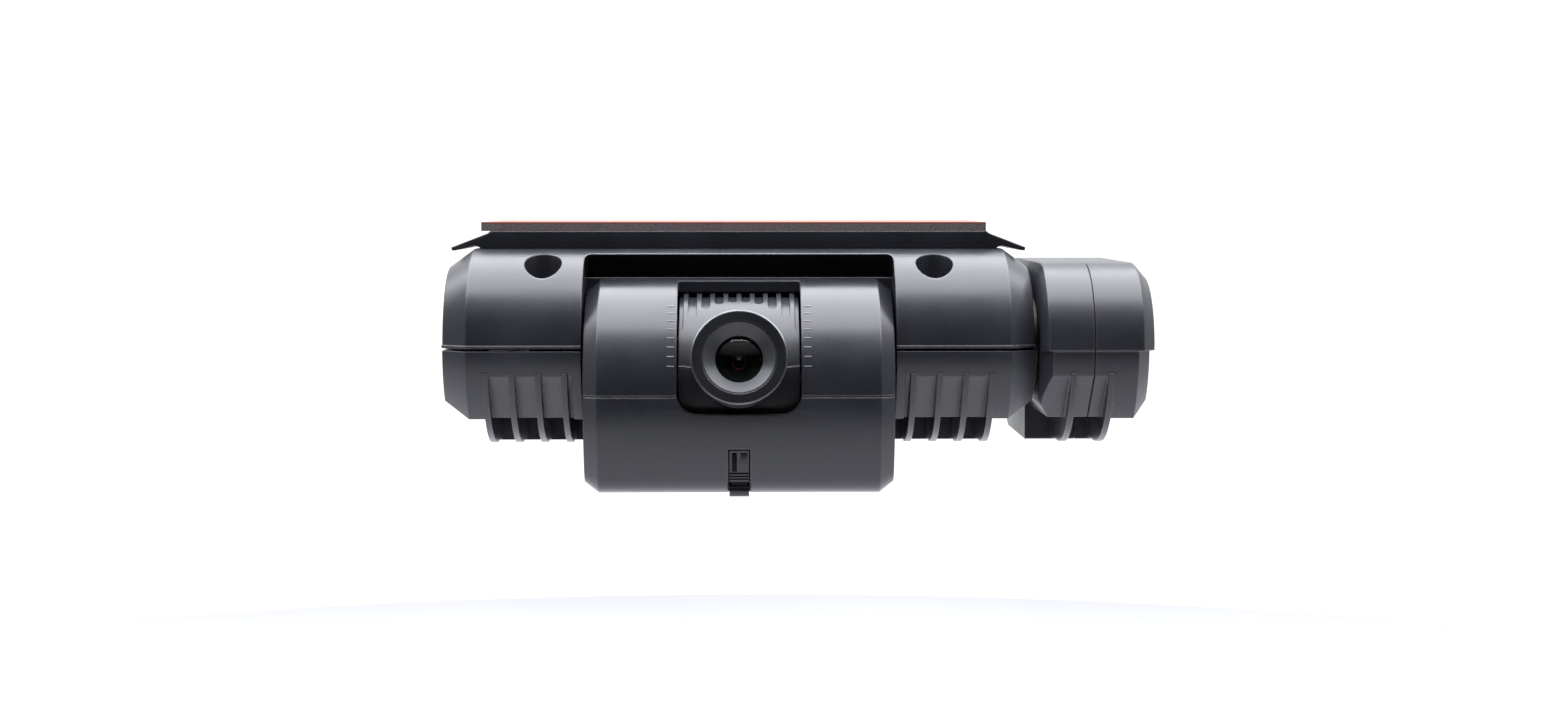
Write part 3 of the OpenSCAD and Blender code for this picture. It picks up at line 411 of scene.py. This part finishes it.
def dome(radius, rise, base, step):
    """A shallow dome profile from its rim to its top, stepped by degrees."""
    turns = [math.radians(a) for a in range(90, -1, -step)]
    return [(max(radius * math.sin(t), WELD), base + rise * math.cos(t)) for t in turns]


def facing(place, direction):
    """A matrix at a place with its local Z along a direction."""
    return Matrix.Translation(place) @ Vector(direction).to_track_quat("Z", "Y").to_matrix().to_4x4()


def half_round(radius, height, root, steps=8):
    """A half-round bead profile with a root sunk into the wall, as [out, up] points."""
    turns = [math.pi * i / steps - math.pi / 2 for i in range(steps + 1)]
    return in_mm([(radius * math.cos(t), height / 2 * math.sin(t)) for t in turns] + [(-root, 0)])


def make_shell_lip():
    """The rolled lip along the lower edge of the upper shell's front and ends."""
    low, high = corners("upper_shell")
    notch = corners("pod_upper")[1].x + 0.6 * MM
    level = low.z + 0.42 * MM
    run, drop, back = 5.5 * MM, 4.0 * MM, 10 * MM
    bead = half_round(radius=0.22, height=0.8, root=0.3)
    for side, name in ((-1, "left"), (1, "right")):
        path = [Vector((side * notch, low.y, level)),
                Vector((side * (high.x - run), low.y, level)),
                Vector((side * high.x, low.y + drop, level)),
                Vector((side * high.x, low.y + drop + back, level))]
        if side < 0:
            path.reverse()
        verts, faces = sweep(path, bead)
        add_piece(f"shell_lip_{name}", verts, faces, "shell_plastic", "housing")


def rear_face(name):
    """The middle of a node's rear face and its half width."""
    low, high = corners(name)
    middle = centre(name)
    return Vector((middle.x, high.y, middle.z)), (high.x - low.x) / 2


def make_buttons():
    """A bezel on the housing and a raised collar on the cap for each rear button."""
    wall_y = corners("lower_shell")[1].y
    bezel = [(0.25, -0.2), (0.3, 0.25), (0.6, 0.4), (1.0, 0.33), (1.5, -0.05)]
    collar = [(-0.75, -0.02), (-0.65, 0.12), (-0.3, 0.12), (-0.18, -0.02)]
    for name in ("call_button", "record_button", "mute_button"):
        place, half_width = rear_face(name)
        radius = half_width - BUTTON_FLANGE * MM
        verts, faces = lathe(around(radius, bezel), facing((place.x, wall_y, place.z), REARWARD))
        add_piece(f"{name}_bezel", verts, faces, "ring_black", "housing")
        verts, faces = lathe(around(radius, collar), facing(place, REARWARD))
        finish = "call_red" if name == "call_button" else "button_rubber"
        add_piece(f"{name}_collar", verts, faces, finish, name)


def raised_sign(name, outlines, body):
    """Flat raised shapes on a button, from [x, z] outlines about its middle in millimetres."""
    place, _ = rear_face(body)
    verts, faces = [], []
    for outline in outlines:
        base, count = len(verts), len(outline)
        for lift in SIGN_LIFTS:
            verts += [place + Vector((-x, lift, z)) * MM for x, z in outline]
        faces += [tuple(base + count + i for i in range(count)),
                  tuple(base + i for i in reversed(range(count)))]
        faces += [(base + i, base + (i + 1) % count, base + count + (i + 1) % count, base + count + i)
                  for i in range(count)]
    add_piece(name, verts, faces, "scale_paint", body)


def arc(radius, start, stop, steps, height=0.0):
    """Points in millimetres along an arc about a centre at x = 0 and a height."""
    turns = [math.radians(start + (stop - start) * i / steps) for i in range(steps + 1)]
    return [(radius * math.cos(t), height + radius * math.sin(t)) for t in turns]


def band(outer, inner, start, stop, steps, height):
    """The outline of a curved band between two radii."""
    return arc(outer, start, stop, steps, height) + arc(inner, stop, start, steps, height)


def block(x, half_width, bottom, top):
    """The outline of an upright rectangle."""
    return [(x - half_width, bottom), (x + half_width, bottom), (x + half_width, top), (x - half_width, top)]


def make_signs():
    """A handset, a dot and a microphone on the rear buttons."""
    handset = [band(2.5, 1.5, 215, 325, 20, 1.6)] + [block(x, 0.75, -0.35, 0.75) for x in (-1.75, 1.75)]
    dot = [arc(1.3, 0, 360, 32)[:-1]]
    capsule = arc(0.6, 0, 180, 12, 1.0) + arc(0.6, 180, 360, 12, -0.1)
    microphone = [capsule, band(1.25, 0.95, 200, 340, 16, 0.1), block(0, 0.15, -1.8, -1.1)]
    raised_sign("call_sign", handset, "call_button")
    raised_sign("record_sign", dot, "record_button")
    raised_sign("mute_sign", microphone, "mute_button")


def make_cabin_eye():
    """The domed glass and stepped bezel of the cabin camera."""
    eye, radius = rear_face("cabin_lens")
    place = facing(eye, REARWARD)
    bezel = [(0.15, -0.6), (0.15, 0.25), (-0.1, 0.4), (-0.6, 0.4), (-1.6, 0.02)]
    verts, faces = lathe(around(radius, bezel), place)
    add_piece("cabin_bezel", verts, faces, "ring_black", "cabin_head")
    verts, faces = lathe(dome(radius - 1.5 * MM, 0.42 * MM, 0.02 * MM, 9), place)
    add_piece("cabin_dome", verts, faces, "cabin_glass", "cabin_head")


def lens_frame():
    """A matrix with its origin on the tilt axis and its local Z along the lens, and the glass's height."""
    hinge = next(j for j in frame["record"]["behaviour"]["joints"] if j["name"] == "lens_tilt")
    pivot = Vector(hinge["pos_m"])
    aim = centre("front_glass") - pivot
    aim.x = 0
    return facing(pivot, aim), aim.length


def make_lens_details():
    """The ring's polished rim and the baffle, coated element and iris ring seen through the glass; the iris
    ring's red is a painted reflection of the lens coating.
    """
    place, glass_at = lens_frame()
    _, ring_r = rear_face("lens_ring")
    rim = [(out, RING_FRONT + up) for out, up in
           ((-0.05, -0.5), (0.03, -0.18), (-0.28, 0.02), (-0.36, -0.08))]
    verts, faces = lathe(around(ring_r, rim), place, 120)
    add_piece("lens_rim", verts, faces, "ring_edge", "lens_barrel")

    _, glass_r = rear_face("front_glass")
    back = glass_at - 1.4 * MM
    baffle = [(-0.2, 0.0)]
    for step in range(BAFFLE_STEPS):
        out, up = -0.45 - 0.42 * step, -0.1 - 0.28 * step
        baffle += [(out, up), (out - 0.06, up - 0.2)]
    baffle = [(r, back + up) for r, up in around(glass_r, baffle)]
    verts, faces = lathe(baffle, place)
    add_piece("lens_baffle", verts, faces, "baffle_black", "lens_barrel")

    inner_r, inner_h = baffle[-1]
    verts, faces = lathe(dome(inner_r, 0.8 * MM, inner_h - 0.5 * MM, 10), place)
    add_piece("lens_inner_element", verts, faces, "coated_element", "lens_barrel")

    # A thin ring at the iris, coloured red as a painted reflection of the lens coating.
    wire = [(r, inner_h + 0.22 * MM + up) for r, up in around(1.25 * MM, arc(0.16, 0, 360, 12))]
    verts, faces = lathe(wire, place)
    add_piece("lens_iris_reflection_ring", verts, faces, "iris_edge", "lens_barrel")


make_shell_lip()
make_lens_details()
make_buttons()
make_signs()
make_cabin_eye()


# ---- Studio ----

CAMERA_PLACE = (0.0, -0.556, 0.005)
CAMERA_LENS = 53.95
CAMERA_TILT = math.radians(90 - 3.822)
CAMERA_TURN = math.radians(-1.097)
FLOOR_Z = -0.30
FLOOR_RADIUS = 1.0
WORLD_LIGHT = 1.3
WORLD_SEEN = 1.2
SOFTBOX_COLOUR = (0.93, 0.935, 1.0)

camera_data = bpy.data.cameras.new("camera")
camera_data.sensor_width = 36
camera_data.lens = CAMERA_LENS
camera = bpy.data.objects.new("camera", camera_data)
scene.collection.objects.link(camera)
camera.location = CAMERA_PLACE
camera.rotation_euler = Euler((CAMERA_TILT, 0, CAMERA_TURN), "XYZ")
scene.camera = camera


def floor_material():
    material, graph, shader = new_material("floor_paper")
    place = graph.add("ShaderNodeTexCoord").outputs["Object"]
    cloud = graph.noise(place, 3, 2.0, 0.5)
    tone = graph.mix(graph.span(cloud, 0.3, 0.7, 0.0, 1.0), (0.50, 0.50, 0.51, 1), (0.53, 0.53, 0.54, 1))
    graph.tree.links.new(tone, shader.inputs["Base Color"])
    shader.inputs["Roughness"].default_value = 0.9
    shader.inputs["Specular IOR Level"].default_value = 0.1
    return material


def make_floor():
    mesh = bpy.data.meshes.new("floor")
    shape = bmesh.new()
    bmesh.ops.create_circle(shape, cap_ends=True, radius=FLOOR_RADIUS, segments=96)
    shape.to_mesh(mesh)
    shape.free()
    floor = bpy.data.objects.new("floor", mesh)
    floor.location = (0, 0.25, FLOOR_Z)
    scene.collection.objects.link(floor)
    mesh.materials.append(floor_material())


def make_world():
    """White surroundings above and behind, with a dark studio in front."""
    world = bpy.data.worlds.new("studio")
    world.use_nodes = True
    scene.world = world
    graph = Graph(world.node_tree)
    background = world.node_tree.nodes["Background"]
    direction = graph.add("ShaderNodeSeparateXYZ",
                          {"Vector": graph.add("ShaderNodeTexCoord").outputs["Generated"]})
    behind = graph.span(direction.outputs["Y"], 0.0, 0.6, 0.012, 1.0)
    above = graph.span(direction.outputs["Z"], 0.55, 0.95, 0.0, 1.0)
    side = graph.span(graph.math("ABSOLUTE", direction.outputs["X"]), 0.6, 0.95, 0.0, 0.35)
    light = graph.math("MAXIMUM", graph.math("MAXIMUM", behind, above), side)
    seen = graph.add("ShaderNodeLightPath").outputs["Is Camera Ray"]
    colour = graph.mix(seen, (0.96, 0.98, 1.0, 1), (1, 1, 1, 1))
    graph.tree.links.new(colour, background.inputs["Color"])
    strength = graph.mix_values(seen, graph.math("MULTIPLY", light, WORLD_LIGHT), WORLD_SEEN)
    graph.tree.links.new(strength, background.inputs["Strength"])


def softbox(name, place, aim, size, power):
    """A rectangular soft light at a place, aimed at a point."""
    data = bpy.data.lights.new(name, "AREA")
    data.shape = "RECTANGLE"
    data.size, data.size_y = size
    data.energy = power
    data.color = SOFTBOX_COLOUR
    light = bpy.data.objects.new(name, data)
    light.location = place
    direction = Vector(aim) - Vector(place)
    light.rotation_euler = direction.to_track_quat("-Z", "Y").to_euler()
    scene.collection.objects.link(light)


make_floor()
make_world()
softbox("top_softbox", (0, 0.14, 0.75), (0, 0.14, 0), (2.2, 1.1), 58)

scene.view_settings.view_transform = "Standard"
